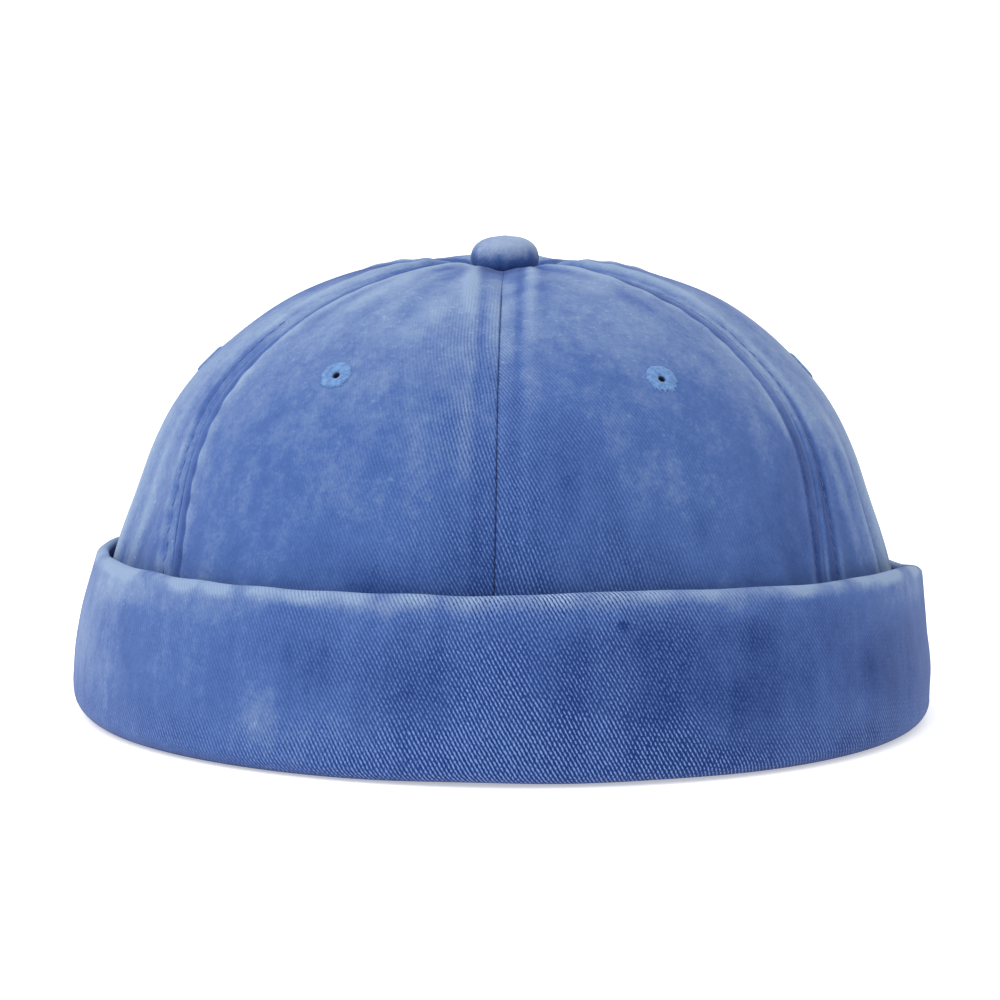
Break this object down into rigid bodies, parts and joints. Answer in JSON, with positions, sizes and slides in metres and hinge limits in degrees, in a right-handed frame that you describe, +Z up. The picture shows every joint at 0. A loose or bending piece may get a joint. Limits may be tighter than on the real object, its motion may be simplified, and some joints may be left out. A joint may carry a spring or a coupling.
{
  "type": "sailor cap",
  "caption": "Brimless sailor cap of washed cotton twill: a rounded crown of sewn panels with stitched eyelets, a covered button on top and a turned-up cuff that stands a little off it.",
  "frame": {"origin": "middle of the foot, on the surface the cap stands on", "axes": "+Z up through the top button, -Y towards the front of the cap, +X to the right of someone facing the front"},
  "size_m": [0.1986, 0.1896, 0.1095],
  "materials": {
    "crown_twill": "washed twill, matte, faded on its raised edges",
    "cuff_twill": "washed twill, matte, faded along its rim",
    "button_twill": "washed twill, matte, faded",
    "eyelet_thread": "satin stitch, soft sheen"
  },
  "bodies": {
    "root": {"panel_front_left": "crown_twill", "panel_front_right": "crown_twill", "panel_side_left": "crown_twill", "panel_side_right": "crown_twill", "panel_back_left": "crown_twill", "panel_back_right": "crown_twill", "cuff": "cuff_twill", "top_button": "button_twill", "eyelet_front_left": "eyelet_thread", "eyelet_front_right": "eyelet_thread", "eyelet_side_left": "eyelet_thread", "eyelet_side_right": "eyelet_thread", "eyelet_back_left": "eyelet_thread", "eyelet_back_right": "eyelet_thread"}
  },
  "joints": []
}
